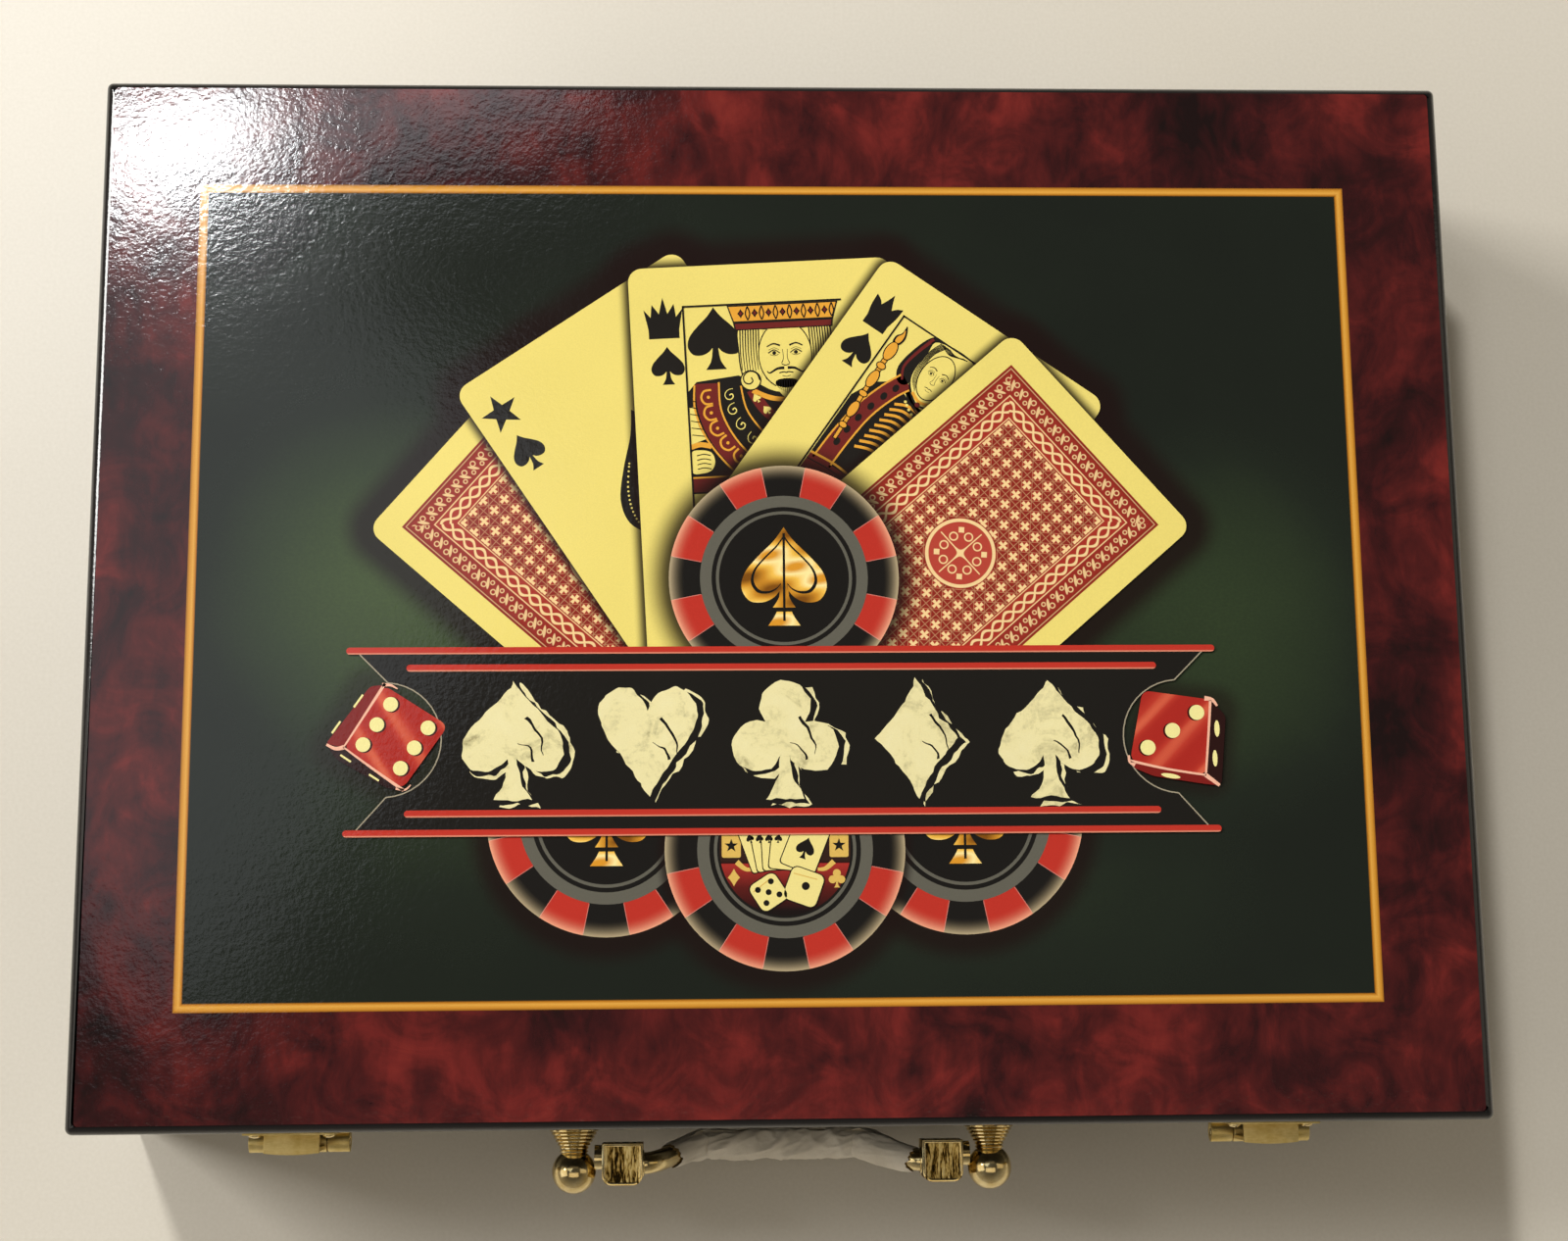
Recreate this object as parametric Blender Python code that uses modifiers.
"""A lacquered wooden poker chip case: base box, hinged lid, brass hardware and trays.

Metres, +Z up. The origin is the centre of the base's underside. The front, with
the handle and the latches, faces -Y, and the hinges are at the back.
"""

import math

import bmesh
import bpy
from mathutils import Matrix, Vector

# --- Driving dimensions -----------------------------------------------------

GAP = 0.0003  # clearance that two pieces at rest keep between them

# Box
CASE_WIDTH = 0.400
CASE_DEPTH = 0.307
CASE_HEIGHT = 0.085
LID_HEIGHT = 0.028
WALL = 0.009
BASE_BOARD = 0.005
LID_BOARD = 0.006
LID_EDGE_RADIUS = 0.0035
BASE_EDGE_RADIUS = 0.002
PRINT_THICKNESS = 0.0005

# Felt and padding
UNDERSIDE_FELT = 0.001
UNDERSIDE_INSET = 0.004
FLOOR_FELT = 0.0012
LID_PAD = 0.003

# Chip trays
TRAY_CLEARANCE = 0.001
TRAY_HEIGHT = 0.040
CHIP_DIAMETER = 0.039
CHIP_PLAY = 0.0015
CHIP_ROWS = 5
ROW_WEB = 0.001
TRAY_RIM = 0.0025
TRAY_END = 0.008

# Accessory tray
ACCESSORY_HEIGHT = 0.034
CARD_LENGTH = 0.0925
CARD_WIDTH = 0.066
CARD_DEPTH = 0.024
DICE_SLOT_LENGTH = 0.088
DICE_SLOT_WIDTH = 0.019
DICE_SLOT_DEPTH = 0.017
BUTTON_DIAMETER = 0.052
BUTTON_DEPTH = 0.012
POCKET_WEB = 0.006

# Screws
SCREW_RADIUS = 0.001
SCREW_LENGTH = 0.0065
SCREW_HEAD_RADIUS = 0.0018
SCREW_HEAD_HEIGHT = 0.0008

# Hinges
HINGE_OFFSET = 0.130
HINGE_LENGTH = 0.038
HINGE_LEAF_HEIGHT = 0.014
HINGE_LEAF_THICKNESS = 0.0012
HINGE_BARREL_RADIUS = 0.0026
HINGE_PIN_RADIUS = 0.0011
HINGE_PIN_OVERHANG = 0.0008
HINGE_KNUCKLE = 0.011
HINGE_SCREW_SPACING = 0.024

# Latches
LATCH_OFFSET = 0.1406
LATCH_WIDTH = 0.029
LATCH_PIVOT_DROP = 0.008
LATCH_PLATE_THICKNESS = 0.0012
LATCH_PLATE_ABOVE = 0.003
LATCH_PLATE_BELOW = 0.014
LATCH_BARREL_RADIUS = 0.003
LATCH_PIN_RADIUS = 0.001
LATCH_SCREW_SPACING = 0.021
HASP_WIDTH = 0.0158
HASP_THICKNESS = 0.0012
HASP_TAB = 0.0016
KEEPER_WIDTH = 0.026
KEEPER_HEIGHT = 0.012
KEEPER_THICKNESS = 0.0008
LUG_WIDTH = 0.012
LUG_RISE = 0.004
LUG_HEIGHT = 0.0016
LUG_REACH = 0.0016
SIDE_PLAY = 0.0004

# Handle
HANDLE_SPAN = 0.1232
HANDLE_HEIGHT = 0.040
POST_FOOT_RADIUS = 0.0073
POST_FOOT_HEIGHT = 0.001
POST_RIBS = 4
POST_CONE_HEIGHT = 0.0056
POST_NECK_RADIUS = 0.0037
POST_BALL_RADIUS = 0.0065
POST_BALL_REACH = 0.0138
POST_BOLT_RADIUS = 0.0019
POST_BOLT_HEAD_RADIUS = 0.0038
POST_BOLT_HEAD_HEIGHT = 0.0022
POST_BOLT_GRIP = 0.004
PIVOT_REACH = 0.0098
PIVOT_PIN_RADIUS = 0.0016
PIVOT_PIN_DEPTH = 0.0044
FERRULE_LENGTH = 0.012
FERRULE_DEPTH = 0.0121
FERRULE_HEIGHT = 0.011
FERRULE_REACH = 0.0117
FERRULE_CORNER = 0.003
COLLAR_RADIUS = 0.0036
COLLAR_LENGTH = 0.0015
ROD_RADIUS = 0.0032
ROD_SOCKET = 0.0038
ROD_REACH = 0.0075
ROD_DROP = 0.022
ROD_BEND = 0.019
WRAP_PLAY = 0.0006
WRAP_THICKNESS = 0.0012
WRAP_LEFT_INSET = 0.0115
WRAP_RIGHT_INSET = 0.0055

ROUND_SEGMENTS = 24
SMALL_SEGMENTS = 12

# --- Places that follow from them -------------------------------------------

HALF_WIDTH = CASE_WIDTH / 2
HALF_DEPTH = CASE_DEPTH / 2
PARTING = CASE_HEIGHT - LID_HEIGHT
BOARD_LOW = UNDERSIDE_FELT + GAP
FLOOR = BOARD_LOW + BASE_BOARD
BASE_WALL_LOW = FLOOR + GAP
BASE_WALL_TOP = PARTING - GAP / 2
LID_WALL_LOW = PARTING + GAP / 2
LID_BOARD_LOW = CASE_HEIGHT - LID_BOARD
LID_WALL_TOP = LID_BOARD_LOW - GAP
INNER_HALF_WIDTH = HALF_WIDTH - WALL
INNER_HALF_DEPTH = HALF_DEPTH - WALL
TRAY_LOW = FLOOR + GAP + FLOOR_FELT + GAP
FRONT_SEAT = -HALF_DEPTH - GAP
BACK_SEAT = HALF_DEPTH + GAP
HINGE_AXIS = Vector((0, BACK_SEAT + HINGE_BARREL_RADIUS, PARTING))
LATCH_PIVOT_Y = FRONT_SEAT - LATCH_PLATE_THICKNESS + 0.0006 - LATCH_BARREL_RADIUS
LATCH_PIVOT_Z = PARTING - LATCH_PIVOT_DROP
HANDLE_AXIS = Vector((0, -HALF_DEPTH - PIVOT_REACH, HANDLE_HEIGHT))
SCREW_HOLE_RADIUS = SCREW_RADIUS + GAP
FACING_FRONT = (math.pi / 2, 0, 0)
FACING_BACK = (-math.pi / 2, 0, 0)

# --- Scene and materials ----------------------------------------------------

for old in list(bpy.data.objects):
    bpy.data.objects.remove(old, do_unlink=True)

PARTS = bpy.data.collections.new("poker_chip_case")
CUTTERS = bpy.data.collections.new("cutters")
bpy.context.scene.collection.children.link(PARTS)
bpy.context.scene.collection.children.link(CUTTERS)


def make_finish(name, colour, roughness, metallic=0.0):
    finish = bpy.data.materials.new(name)
    finish.use_nodes = True
    shader = finish.node_tree.nodes["Principled BSDF"]
    shader.inputs["Base Color"].default_value = (*colour, 1)
    shader.inputs["Roughness"].default_value = roughness
    shader.inputs["Metallic"].default_value = metallic
    return finish


LACQUER = make_finish("black_lacquer", (0.006, 0.006, 0.007), 0.10)
PRINT = make_finish("burl_print", (0.10, 0.016, 0.016), 0.12)
BRASS = make_finish("polished_brass", (0.80, 0.58, 0.22), 0.16, 1.0)
STEEL = make_finish("plated_steel", (0.55, 0.54, 0.52), 0.28, 1.0)
GREEN_FELT = make_finish("green_felt", (0.012, 0.075, 0.040), 0.95)
BLACK_FELT = make_finish("black_felt", (0.012, 0.012, 0.013), 0.95)
TISSUE = make_finish("wrapping_tissue", (0.42, 0.38, 0.31), 0.60)


# --- Building helpers -------------------------------------------------------


def add_part(name, mesh, location, finish, parent=None, rotation=(0, 0, 0)):
    part = bpy.data.objects.new(name, mesh)
    PARTS.objects.link(part)
    part.location = Vector(location)
    part.rotation_euler = rotation
    if parent is not None:
        part.parent = parent
        part.location -= parent.location
    mesh.materials.append(finish)
    return part


def add_guide(name, mesh, location, rotation=(0, 0, 0)):
    guide = bpy.data.objects.new(name, mesh)
    CUTTERS.objects.link(guide)
    guide.location = location
    guide.rotation_euler = rotation
    guide.hide_render = True
    guide.display_type = "WIRE"
    return guide


def mesh_from(cage, name):
    mesh = bpy.data.meshes.new(name)
    cage.to_mesh(mesh)
    cage.free()
    return mesh


def box_mesh(name, low, high):
    size = Vector(high) - Vector(low)
    cage = bmesh.new()
    bmesh.ops.create_cube(cage, size=1, matrix=Matrix.Diagonal((*size, 1)))
    return mesh_from(cage, name)


def middle(low, high):
    return (Vector(low) + Vector(high)) / 2


def box(name, low, high, finish, parent=None):
    return add_part(name, box_mesh(name, low, high), middle(low, high), finish, parent)


def box_guide(name, low, high):
    return add_guide(name, box_mesh(name, low, high), middle(low, high))


def rod_mesh(name, radius, length, axis, segments=ROUND_SEGMENTS):
    turn = {"X": Matrix.Rotation(math.pi / 2, 4, "Y"), "Z": Matrix.Identity(4)}
    turn["Y"] = Matrix.Rotation(math.pi / 2, 4, "X")
    cage = bmesh.new()
    bmesh.ops.create_cone(
        cage, cap_ends=True, segments=segments, radius1=radius, radius2=radius,
        depth=length, matrix=turn[axis],
    )
    return smooth(mesh_from(cage, name))


def smooth(mesh):
    mesh.shade_smooth()
    mesh.set_sharp_from_angle(angle=math.radians(35))
    return mesh


def round_edges(part, radius, segments, chosen):
    """Rounds the edges whose midpoint, in the part's own axes, is chosen."""
    cage = bmesh.new()
    cage.from_mesh(part.data)
    edges = [edge for edge in cage.edges if chosen((edge.verts[0].co + edge.verts[1].co) / 2)]
    bmesh.ops.bevel(
        cage, geom=edges, offset=radius, offset_type="OFFSET",
        segments=segments, profile=0.5, affect="EDGES",
    )
    cage.to_mesh(part.data)
    cage.free()
    smooth(part.data)


def combine(part, guide, operation):
    step = part.modifiers.new(guide.name, "BOOLEAN")
    step.operation = operation
    step.solver = "EXACT"
    step.object = guide


def cut(part, guide):
    combine(part, guide, "DIFFERENCE")


def join(part, guide):
    combine(part, guide, "UNION")


def turned(name, profile, location, finish, rotation, parent=None, segments=ROUND_SEGMENTS):
    """Turns a profile of (radius, height) points, listed from the top down."""
    mesh = bpy.data.meshes.new(name)
    points = [(radius, 0, height) for radius, height in profile]
    mesh.from_pydata(points, [(i, i + 1) for i in range(len(points) - 1)], [])
    part = add_part(name, mesh, location, finish, parent, rotation)
    screw = part.modifiers.new("turn", "SCREW")
    screw.axis = "Z"
    screw.steps = segments
    screw.render_steps = segments
    screw.use_merge_vertices = True
    screw.merge_threshold = 0.00001
    screw.use_smooth_shade = True
    return part


def add_axis(name, location):
    axis = bpy.data.objects.new(name, None)
    PARTS.objects.link(axis)
    axis.location = location
    return axis


def add_screw(name, place, direction, wall_parts, parent=None):
    """A dome-headed wood screw at a hardware face, and its holes in what it holds.

    place is the middle of the head's underside; direction is +1 for a piece on
    the back and -1 for one on the front.
    """
    rotation = FACING_BACK if direction > 0 else FACING_FRONT
    dome = [
        (SCREW_HEAD_RADIUS * math.sin(turn), SCREW_HEAD_HEIGHT * math.cos(turn))
        for turn in [math.pi / 2 * i / 4 for i in range(5)]
    ]
    shank = [(SCREW_RADIUS, 0), (SCREW_RADIUS, -SCREW_LENGTH), (0, -SCREW_LENGTH - SCREW_RADIUS)]
    seat = Vector(place) + Vector((0, direction * GAP, 0))
    turned(name, dome + shank, seat, BRASS, rotation, parent, SMALL_SEGMENTS)
    depth = SCREW_LENGTH + SCREW_RADIUS + 4 * GAP
    hole = rod_mesh(name + "_hole", SCREW_HOLE_RADIUS, depth, "Y", SMALL_SEGMENTS)
    middle_y = seat.y + direction * (3 * GAP - depth / 2)
    guide = add_guide(name + "_hole", hole, (seat.x, middle_y, seat.z))
    for part in wall_parts:
        cut(part, guide)


# --- Base box ---------------------------------------------------------------


def build_base():
    box(
        "underside_felt",
        (-HALF_WIDTH + UNDERSIDE_INSET, -HALF_DEPTH + UNDERSIDE_INSET, 0),
        (HALF_WIDTH - UNDERSIDE_INSET, HALF_DEPTH - UNDERSIDE_INSET, UNDERSIDE_FELT),
        BLACK_FELT,
    )
    board = box(
        "base_bottom_board",
        (-HALF_WIDTH, -HALF_DEPTH, BOARD_LOW), (HALF_WIDTH, HALF_DEPTH, FLOOR), LACQUER,
    )
    round_edges(board, BASE_EDGE_RADIUS, 4, lambda mid: mid.z < -BASE_BOARD / 3)
    box(
        "base_lining_felt",
        (-INNER_HALF_WIDTH + GAP, -INNER_HALF_DEPTH + GAP, FLOOR + GAP),
        (INNER_HALF_WIDTH - GAP, INNER_HALF_DEPTH - GAP, FLOOR + GAP + FLOOR_FELT),
        GREEN_FELT,
    )
    return build_walls("base", BASE_WALL_LOW, BASE_WALL_TOP, None)


def build_walls(box_name, low, top, parent):
    """Four wall panels: front and back at full width, the sides between them."""
    walls = {}
    for side, sign in (("front", -1), ("back", 1)):
        outer, inner = sign * HALF_DEPTH, sign * INNER_HALF_DEPTH
        walls[side] = box(
            f"{box_name}_{side}_wall",
            (-HALF_WIDTH, min(outer, inner), low), (HALF_WIDTH, max(outer, inner), top),
            LACQUER, parent,
        )
    for side, sign in (("left", -1), ("right", 1)):
        outer, inner = sign * HALF_WIDTH, sign * INNER_HALF_WIDTH
        reach = INNER_HALF_DEPTH - GAP
        walls[side] = box(
            f"{box_name}_{side}_wall",
            (min(outer, inner), -reach, low), (max(outer, inner), reach, top),
            LACQUER, parent,
        )
    return walls


# --- Lid --------------------------------------------------------------------


def build_lid(lid_axis):
    walls = build_walls("lid", LID_WALL_LOW, LID_WALL_TOP, lid_axis)
    board = box(
        "lid_top_board",
        (-HALF_WIDTH, -HALF_DEPTH, LID_BOARD_LOW), (HALF_WIDTH, HALF_DEPTH, CASE_HEIGHT),
        LACQUER, lid_axis,
    )
    round_edges(board, LID_EDGE_RADIUS, 5, lambda mid: mid.z > LID_BOARD / 3)
    recess = LID_EDGE_RADIUS + GAP
    recess_floor = CASE_HEIGHT - PRINT_THICKNESS - GAP
    cut(board, box_guide(
        "print_recess",
        (-HALF_WIDTH + recess, -HALF_DEPTH + recess, recess_floor),
        (HALF_WIDTH - recess, HALF_DEPTH - recess, CASE_HEIGHT + LID_BOARD),
    ))
    inset = recess + GAP
    box(
        "lid_print_panel",
        (-HALF_WIDTH + inset, -HALF_DEPTH + inset, CASE_HEIGHT - PRINT_THICKNESS),
        (HALF_WIDTH - inset, HALF_DEPTH - inset, CASE_HEIGHT),
        PRINT, lid_axis,
    )
    box(
        "lid_lining_pad",
        (-INNER_HALF_WIDTH + GAP, -INNER_HALF_DEPTH + GAP, LID_BOARD_LOW - GAP - LID_PAD),
        (INNER_HALF_WIDTH - GAP, INNER_HALF_DEPTH - GAP, LID_BOARD_LOW - GAP),
        GREEN_FELT, lid_axis,
    )
    return walls


# --- Trays ------------------------------------------------------------------

GROOVE_RADIUS = (CHIP_DIAMETER + CHIP_PLAY) / 2
ROW_PITCH = 2 * GROOVE_RADIUS + ROW_WEB
TRAY_DEPTH = CHIP_ROWS * ROW_PITCH - ROW_WEB + 2 * TRAY_RIM
TRAY_WIDTH = INNER_HALF_WIDTH - 1.5 * TRAY_CLEARANCE
TRAY_TOP = TRAY_LOW + TRAY_HEIGHT
TRAY_BACK = INNER_HALF_DEPTH - TRAY_CLEARANCE


def build_chip_tray(side, sign):
    """A block with half-round grooves along X, one for each row of chips."""
    middle_x = sign * (TRAY_CLEARANCE + TRAY_WIDTH) / 2
    tray = box(
        f"{side}_chip_tray",
        (middle_x - TRAY_WIDTH / 2, TRAY_BACK - TRAY_DEPTH, TRAY_LOW),
        (middle_x + TRAY_WIDTH / 2, TRAY_BACK, TRAY_TOP),
        BLACK_FELT,
    )
    for row in range(CHIP_ROWS):
        row_y = TRAY_BACK - TRAY_RIM - GROOVE_RADIUS - row * ROW_PITCH
        groove = rod_mesh("groove", GROOVE_RADIUS, TRAY_WIDTH - 2 * TRAY_END, "X", 40)
        cut(tray, add_guide(f"{side}_groove_{row + 1}", groove, (middle_x, row_y, TRAY_TOP)))


def pocket(tray, name, centre_x, centre_y, length, width, depth, top):
    cut(tray, box_guide(
        name,
        (centre_x - length / 2, centre_y - width / 2, top - depth),
        (centre_x + length / 2, centre_y + width / 2, top + depth),
    ))


def build_accessory_tray():
    """The front tray: a card well at each end, a dice slot and a dealer-button well."""
    low_y = -INNER_HALF_DEPTH + TRAY_CLEARANCE
    high_y = TRAY_BACK - TRAY_DEPTH - TRAY_CLEARANCE
    half_width = INNER_HALF_WIDTH - TRAY_CLEARANCE
    top = TRAY_LOW + ACCESSORY_HEIGHT
    tray = box(
        "accessory_tray", (-half_width, low_y, TRAY_LOW), (half_width, high_y, top), BLACK_FELT,
    )
    centre_y = (low_y + high_y) / 2
    card_x = half_width - POCKET_WEB - CARD_LENGTH / 2
    for side, sign in (("left", -1), ("right", 1)):
        pocket(
            tray, f"{side}_card_well", sign * card_x, centre_y, CARD_LENGTH, CARD_WIDTH,
            CARD_DEPTH, top,
        )
    span = DICE_SLOT_LENGTH + POCKET_WEB + BUTTON_DIAMETER
    dice_x = -span / 2 + DICE_SLOT_LENGTH / 2
    pocket(
        tray, "dice_slot", dice_x, centre_y, DICE_SLOT_LENGTH, DICE_SLOT_WIDTH,
        DICE_SLOT_DEPTH, top,
    )
    well = rod_mesh("button_well", BUTTON_DIAMETER / 2, 2 * BUTTON_DEPTH, "Z", 40)
    cut(tray, add_guide("button_well", well, (span / 2 - BUTTON_DIAMETER / 2, centre_y, top)))


# --- Hinges -----------------------------------------------------------------


def build_hinge(side, sign, base_wall, lid_wall, lid_axis):
    """A butt hinge: two outer knuckles on the base leaf, one on the lid leaf."""
    centre_x = sign * HINGE_OFFSET
    low_x, high_x = centre_x - HINGE_LENGTH / 2, centre_x + HINGE_LENGTH / 2
    outer = HINGE_KNUCKLE
    base_spans = [(low_x, low_x + outer), (high_x - outer, high_x)]
    lid_spans = [(low_x + outer + SIDE_PLAY, high_x - outer - SIDE_PLAY)]
    build_leaf(f"{side}_hinge_base_leaf", low_x, high_x, -1, base_spans, base_wall, None)
    build_leaf(f"{side}_hinge_lid_leaf", low_x, high_x, 1, lid_spans, lid_wall, lid_axis)
    pin_length = HINGE_LENGTH + 2 * HINGE_PIN_OVERHANG
    pin = rod_mesh("hinge_pin", HINGE_PIN_RADIUS, pin_length, "X", SMALL_SEGMENTS)
    add_part(f"{side}_hinge_pin", pin, HINGE_AXIS + Vector((centre_x, 0, 0)), BRASS)


def build_leaf(name, low_x, high_x, sign, spans, wall, parent):
    """sign is -1 for the leaf below the pin and +1 for the leaf above it."""
    inner_y, outer_y = BACK_SEAT, BACK_SEAT + HINGE_LEAF_THICKNESS
    near = HINGE_AXIS.z + sign * (HINGE_BARREL_RADIUS + SIDE_PLAY)
    far = near + sign * HINGE_LEAF_HEIGHT
    leaf = box(
        name, (low_x, inner_y, min(near, far)), (high_x, outer_y, max(near, far)), BRASS, parent,
    )
    bore_length = HINGE_LENGTH + 4 * HINGE_PIN_OVERHANG
    for number, (start, end) in enumerate(spans, 1):
        tab_end = HINGE_AXIS.z + sign * HINGE_PIN_RADIUS
        tab_start = near + sign * HINGE_LEAF_HEIGHT / 4
        join(leaf, box_guide(
            f"{name}_tab_{number}",
            (start, inner_y, min(tab_start, tab_end)), (end, outer_y, max(tab_start, tab_end)),
        ))
        knuckle = rod_mesh("knuckle", HINGE_BARREL_RADIUS, end - start, "X")
        place = ((start + end) / 2, HINGE_AXIS.y, HINGE_AXIS.z)
        join(leaf, add_guide(f"{name}_knuckle_{number}", knuckle, place))
    bore = rod_mesh("bore", HINGE_PIN_RADIUS + GAP, bore_length, "X", SMALL_SEGMENTS)
    centre_x = (low_x + high_x) / 2
    cut(leaf, add_guide(f"{name}_bore", bore, (centre_x, HINGE_AXIS.y, HINGE_AXIS.z)))
    for number, shift in enumerate((-0.5, 0.5), 1):
        place = (centre_x + shift * HINGE_SCREW_SPACING, outer_y, (near + far) / 2)
        add_screw(f"{name}_screw_{number}", place, 1, [leaf, wall], parent)


# --- Latches ----------------------------------------------------------------


def build_latch(side, sign, base_wall, lid_wall, lid_axis):
    centre_x = sign * LATCH_OFFSET
    pivot = Vector((centre_x, LATCH_PIVOT_Y, LATCH_PIVOT_Z))
    hasp_axis = add_axis(f"{side}_hasp_axis", pivot)
    build_latch_plate(side, pivot, base_wall)
    build_hasp(side, pivot, hasp_axis)
    build_keeper(side, centre_x, lid_wall, lid_axis)
    pin = rod_mesh("latch_pin", LATCH_PIN_RADIUS, LATCH_WIDTH, "X", SMALL_SEGMENTS)
    add_part(f"{side}_latch_pin", pin, pivot, BRASS)


def latch_bore(name, pivot):
    bore = rod_mesh("bore", LATCH_PIN_RADIUS + GAP, 2 * LATCH_WIDTH, "X", SMALL_SEGMENTS)
    return add_guide(name, bore, pivot)


def build_latch_plate(side, pivot, base_wall):
    """The plate on the base, with a knuckle at each end and a notch for the hasp."""
    name = f"{side}_latch_plate"
    front_y = FRONT_SEAT - LATCH_PLATE_THICKNESS
    low_x, high_x = pivot.x - LATCH_WIDTH / 2, pivot.x + LATCH_WIDTH / 2
    low_z, high_z = pivot.z - LATCH_PLATE_BELOW, pivot.z + LATCH_PLATE_ABOVE
    plate = box(name, (low_x, front_y, low_z), (high_x, FRONT_SEAT, high_z), BRASS)
    half_notch = HASP_WIDTH / 2 + SIDE_PLAY
    clear = LATCH_BARREL_RADIUS + 2 * SIDE_PLAY
    cut(plate, box_guide(
        f"{name}_notch",
        (pivot.x - half_notch, front_y - LATCH_WIDTH, pivot.z - clear),
        (pivot.x + half_notch, FRONT_SEAT + LATCH_WIDTH, high_z + LATCH_WIDTH),
    ))
    knuckle_length = LATCH_WIDTH / 2 - half_notch
    for number, end in enumerate((-1, 1), 1):
        knuckle = rod_mesh("knuckle", LATCH_BARREL_RADIUS, knuckle_length, "X")
        place = pivot + Vector((end * (half_notch + knuckle_length / 2), 0, 0))
        join(plate, add_guide(f"{name}_knuckle_{number}", knuckle, place))
    cut(plate, latch_bore(f"{name}_bore", pivot))
    for number, shift in enumerate((-0.5, 0.5), 1):
        place = (pivot.x + shift * LATCH_SCREW_SPACING, front_y, pivot.z - LATCH_PLATE_BELOW * 0.7)
        add_screw(f"{name}_screw_{number}", place, -1, [plate, base_wall])


LUG_LOW = PARTING + LUG_RISE
LUG_TOP = LUG_LOW + LUG_HEIGHT
KEEPER_FRONT = FRONT_SEAT - KEEPER_THICKNESS
LUG_FRONT = KEEPER_FRONT - LUG_REACH


def build_hasp(side, pivot, hasp_axis):
    """The swinging hasp: barrel, upright and a cap that hooks over the lug.

    The cap's underside stays outside the circle that the lug's far corner makes
    round the pivot, so the hasp swings out without touching it.
    """
    name = f"{side}_hasp"
    half_width = HASP_WIDTH / 2
    inner_y = LUG_FRONT - SIDE_PLAY
    outer_y = inner_y - HASP_THICKNESS
    lug_reach = math.hypot(pivot.y - KEEPER_FRONT, LUG_TOP - pivot.z)
    cap_low = pivot.z + lug_reach + SIDE_PLAY
    cap_top = cap_low + HASP_THICKNESS
    barrel = rod_mesh(name, LATCH_BARREL_RADIUS, HASP_WIDTH, "X")
    hasp = add_part(name, barrel, pivot, BRASS, hasp_axis)
    join(hasp, box_guide(
        f"{name}_upright",
        (pivot.x - half_width, outer_y, pivot.z),
        (pivot.x + half_width, inner_y, cap_low + HASP_THICKNESS / 2),
    ))
    cap = box_guide(
        f"{name}_cap",
        (pivot.x - half_width, outer_y - HASP_TAB, cap_low),
        (pivot.x + half_width, KEEPER_FRONT - GAP, cap_top),
    )
    join(hasp, cap)
    cut(hasp, latch_bore(f"{name}_bore", pivot))


def build_keeper(side, centre_x, lid_wall, lid_axis):
    """The small plate on the lid whose lug the hasp hooks over."""
    name = f"{side}_keeper"
    low_z = PARTING + LUG_RISE / 4
    keeper = box(
        name,
        (centre_x - KEEPER_WIDTH / 2, KEEPER_FRONT, low_z),
        (centre_x + KEEPER_WIDTH / 2, FRONT_SEAT, low_z + KEEPER_HEIGHT),
        BRASS, lid_axis,
    )
    join(keeper, box_guide(
        f"{name}_lug",
        (centre_x - LUG_WIDTH / 2, LUG_FRONT, LUG_LOW),
        (centre_x + LUG_WIDTH / 2, KEEPER_FRONT + KEEPER_THICKNESS / 2, LUG_TOP),
    ))
    for number, shift in enumerate((-0.5, 0.5), 1):
        place = (centre_x + shift * LATCH_SCREW_SPACING, KEEPER_FRONT, low_z + KEEPER_HEIGHT / 2)
        add_screw(f"{name}_screw_{number}", place, -1, [keeper, lid_wall], lid_axis)


# --- Handle -----------------------------------------------------------------


def post_profile():
    """Ball, neck, ribbed cone and foot of a handle post, from the ball's tip down."""
    ball_height = POST_BALL_REACH - GAP
    neck_turn = math.pi - math.asin(POST_NECK_RADIUS / POST_BALL_RADIUS)
    steps = 14
    profile = []
    for step in range(steps + 1):
        turn = neck_turn * step / steps
        height = ball_height + POST_BALL_RADIUS * math.cos(turn)
        profile.append((POST_BALL_RADIUS * math.sin(turn), height))
    rib = (POST_CONE_HEIGHT - POST_FOOT_HEIGHT) / POST_RIBS
    flare = (POST_FOOT_RADIUS - POST_NECK_RADIUS) / POST_RIBS
    for number in range(POST_RIBS):
        top = POST_CONE_HEIGHT - number * rib
        radius = POST_NECK_RADIUS + number * flare
        profile += [(radius, top), (radius + 0.7 * flare, top - rib / 3)]
        profile.append((radius + 0.7 * flare, top - 0.8 * rib))
    profile += [(POST_FOOT_RADIUS, POST_FOOT_HEIGHT), (POST_FOOT_RADIUS, 0), (0, 0)]
    return profile


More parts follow.
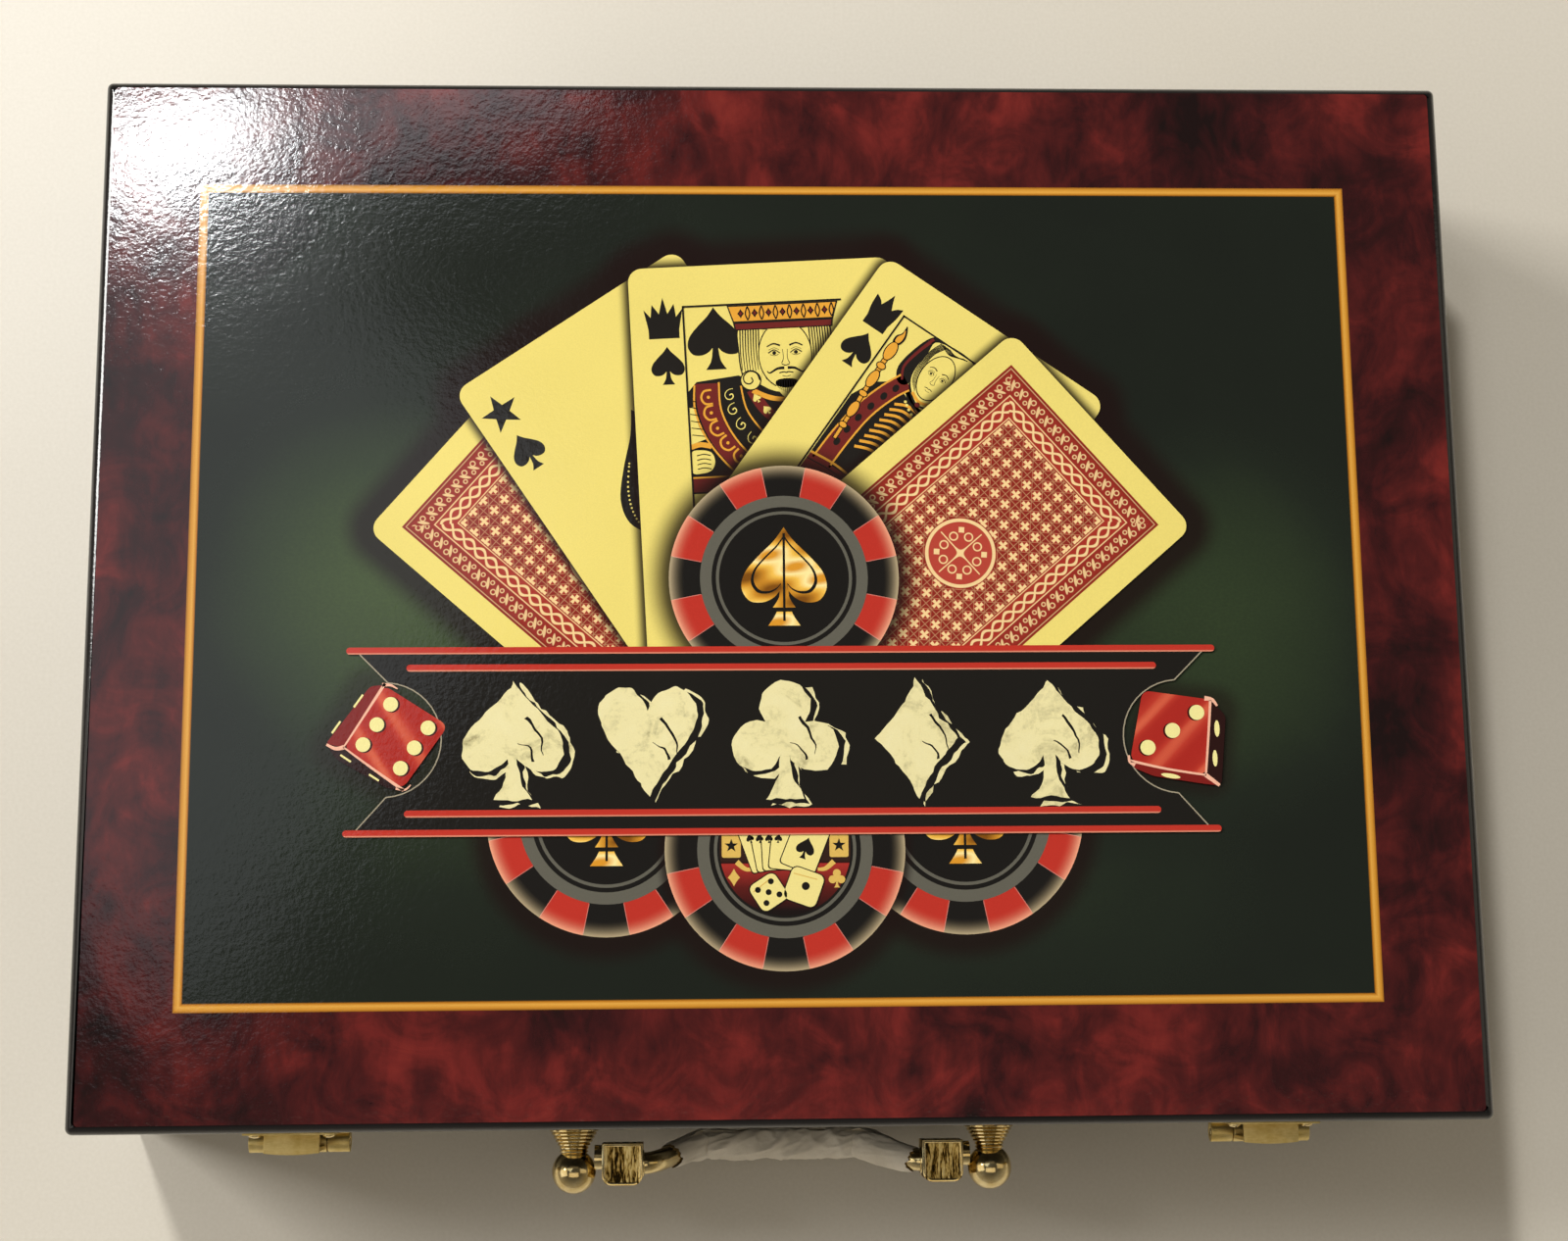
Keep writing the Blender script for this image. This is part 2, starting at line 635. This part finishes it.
def build_post(side, sign, front_wall):
    """A turned post on the front wall, held by a bolt from inside the box."""
    centre_x = sign * HANDLE_SPAN / 2
    seat = Vector((centre_x, FRONT_SEAT, HANDLE_HEIGHT))
    post = turned(f"{side}_handle_post", post_profile(), seat, BRASS, FACING_FRONT)
    socket_length = PIVOT_PIN_DEPTH + COLLAR_LENGTH + 2 * GAP + POST_BALL_RADIUS
    socket = rod_mesh("socket", PIVOT_PIN_RADIUS + GAP, socket_length, "X", SMALL_SEGMENTS)
    socket_end = pin_end(sign) + sign * GAP
    socket_x = socket_end - sign * socket_length / 2
    cut(post, add_guide(f"{side}_post_socket", socket, (socket_x, HANDLE_AXIS.y, HANDLE_HEIGHT)))
    wall_inside = -INNER_HALF_DEPTH
    bolt_reach = WALL + GAP + POST_BOLT_GRIP
    head = POST_BOLT_HEAD_HEIGHT
    bolt_profile = [
        (0, bolt_reach), (POST_BOLT_RADIUS, bolt_reach), (POST_BOLT_RADIUS, head),
        (POST_BOLT_HEAD_RADIUS, head), (POST_BOLT_HEAD_RADIUS, 0), (0, 0),
    ]
    bolt_place = (centre_x, wall_inside, HANDLE_HEIGHT)
    turned(f"{side}_post_bolt", bolt_profile, bolt_place, STEEL, FACING_FRONT)
    hole_length = WALL + POST_BOLT_GRIP + 4 * GAP
    hole = rod_mesh("bolt_hole", POST_BOLT_RADIUS + GAP, hole_length, "Y")
    hole_y = wall_inside - bolt_reach - GAP + hole_length / 2
    hole_guide = add_guide(f"{side}_bolt_hole", hole, (centre_x, hole_y, HANDLE_HEIGHT))
    cut(front_wall, hole_guide)
    cut(post, hole_guide)
    counterbore = rod_mesh("counterbore", POST_BOLT_HEAD_RADIUS + GAP, 2 * (head + GAP), "Y")
    cut(front_wall, add_guide(f"{side}_bolt_counterbore", counterbore, bolt_place))


def collar_end(sign):
    """Where the ferrule's collar stops, just short of the post's ball."""
    return sign * (HANDLE_SPAN / 2 - POST_BALL_RADIUS - SIDE_PLAY)


def pin_end(sign):
    """Where the ferrule's pivot pin stops inside the post."""
    return collar_end(sign) + sign * (PIVOT_PIN_DEPTH + POST_BALL_RADIUS / 5)


def ferrule_inner(sign):
    return collar_end(sign) - sign * (COLLAR_LENGTH + FERRULE_LENGTH)


def build_ferrule(side, sign, handle_axis):
    """The textured block that carries the bail on a pin in the post's ball."""
    name = f"{side}_handle_ferrule"
    middle_y = -HALF_DEPTH - FERRULE_REACH
    ends = sorted((ferrule_inner(sign), ferrule_inner(sign) + sign * FERRULE_LENGTH))
    ferrule = box(
        name,
        (ends[0], middle_y - FERRULE_DEPTH / 2, HANDLE_HEIGHT - FERRULE_HEIGHT / 2),
        (ends[1], middle_y + FERRULE_DEPTH / 2, HANDLE_HEIGHT + FERRULE_HEIGHT / 2),
        BRASS, handle_axis,
    )
    front = -FERRULE_DEPTH / 3
    side_x = FERRULE_LENGTH / 3
    round_edges(
        ferrule, FERRULE_CORNER, 5, lambda mid: mid.y < front and abs(mid.x) > side_x,
    )
    outer = ends[1] if sign > 0 else ends[0]
    collar_start = outer - sign * COLLAR_LENGTH
    for label, radius, start, end in (
        ("collar", COLLAR_RADIUS, collar_start, collar_end(sign)),
        ("pin", PIVOT_PIN_RADIUS, collar_start, pin_end(sign)),
    ):
        shaft = rod_mesh(label, radius, abs(end - start), "X")
        place = ((start + end) / 2, HANDLE_AXIS.y, HANDLE_HEIGHT)
        join(ferrule, add_guide(f"{name}_{label}", shaft, place))
    depth = ROD_SOCKET + GAP
    socket = rod_mesh("rod_socket", ROD_RADIUS + GAP, 2 * depth, "X")
    place = (ferrule_inner(sign), -HALF_DEPTH - FERRULE_REACH, HANDLE_HEIGHT)
    cut(ferrule, add_guide(f"{name}_rod_socket", socket, place))


def bail_point(x):
    """The bail's centre line: level in the sockets, then an S-bend down to the grip."""
    start = abs(ferrule_inner(1))
    travel = min(max((start - abs(x)) / ROD_BEND, 0), 1)
    ease = travel * travel * (3 - 2 * travel)
    reach = FERRULE_REACH + (ROD_REACH - FERRULE_REACH) * ease
    return (x, -HALF_DEPTH - reach, HANDLE_HEIGHT - ROD_DROP * ease)


def bail_curve(name, start, end, points, radius, caps):
    curve = bpy.data.curves.new(name, "CURVE")
    curve.dimensions = "3D"
    curve.bevel_depth = radius
    curve.bevel_resolution = 3
    curve.use_fill_caps = caps
    spline = curve.splines.new("POLY")
    spline.points.add(points - 1)
    for number, point in enumerate(spline.points):
        x = start + (end - start) * number / (points - 1)
        point.co = (*(Vector(bail_point(x)) - HANDLE_AXIS), 1)
        point.radius = 1
    return curve


def mesh_of_curve(curve, name):
    """The tube of a curve as a mesh, with its loose caps welded on."""
    stand_in = bpy.data.objects.new(name, curve)
    CUTTERS.objects.link(stand_in)
    bpy.context.view_layer.update()
    evaluated = stand_in.evaluated_get(bpy.context.evaluated_depsgraph_get())
    mesh = bpy.data.meshes.new_from_object(evaluated)
    mesh.materials.clear()
    bpy.data.objects.remove(stand_in, do_unlink=True)
    cage = bmesh.new()
    cage.from_mesh(mesh)
    bmesh.ops.remove_doubles(cage, verts=cage.verts, dist=0.00001)
    cage.to_mesh(mesh)
    cage.free()
    return smooth(mesh)


def build_bail(handle_axis):
    """The round bail between the ferrules, and the tissue wrapped round its grip."""
    reach = abs(ferrule_inner(1)) + ROD_SOCKET
    rod = mesh_of_curve(bail_curve("bail", -reach, reach, 45, ROD_RADIUS, True), "bail")
    add_part("handle_bail", rod, HANDLE_AXIS, BRASS, handle_axis)
    left = ferrule_inner(-1) + WRAP_LEFT_INSET
    right = ferrule_inner(1) - WRAP_RIGHT_INSET
    sleeve = bail_curve("wrap", left, right, 33, ROD_RADIUS + WRAP_PLAY, False)
    wrap = add_part(
        "handle_wrap", mesh_of_curve(sleeve, "wrap"), HANDLE_AXIS, TISSUE, handle_axis,
    )
    shell = wrap.modifiers.new("thickness", "SOLIDIFY")
    shell.thickness = WRAP_THICKNESS
    shell.offset = 1
    shell.use_even_offset = True


# --- Assembly ---------------------------------------------------------------


def main():
    lid_axis = add_axis("lid_axis", HINGE_AXIS)
    handle_axis = add_axis("handle_axis", HANDLE_AXIS)
    base_walls = build_base()
    lid_walls = build_lid(lid_axis)
    build_accessory_tray()
    for side, sign in (("left", -1), ("right", 1)):
        build_chip_tray(side, sign)
        build_hinge(side, sign, base_walls["back"], lid_walls["back"], lid_axis)
        build_latch(side, sign, base_walls["front"], lid_walls["front"], lid_axis)
        build_post(side, sign, base_walls["front"])
        build_ferrule(side, sign, handle_axis)
    build_bail(handle_axis)


main()
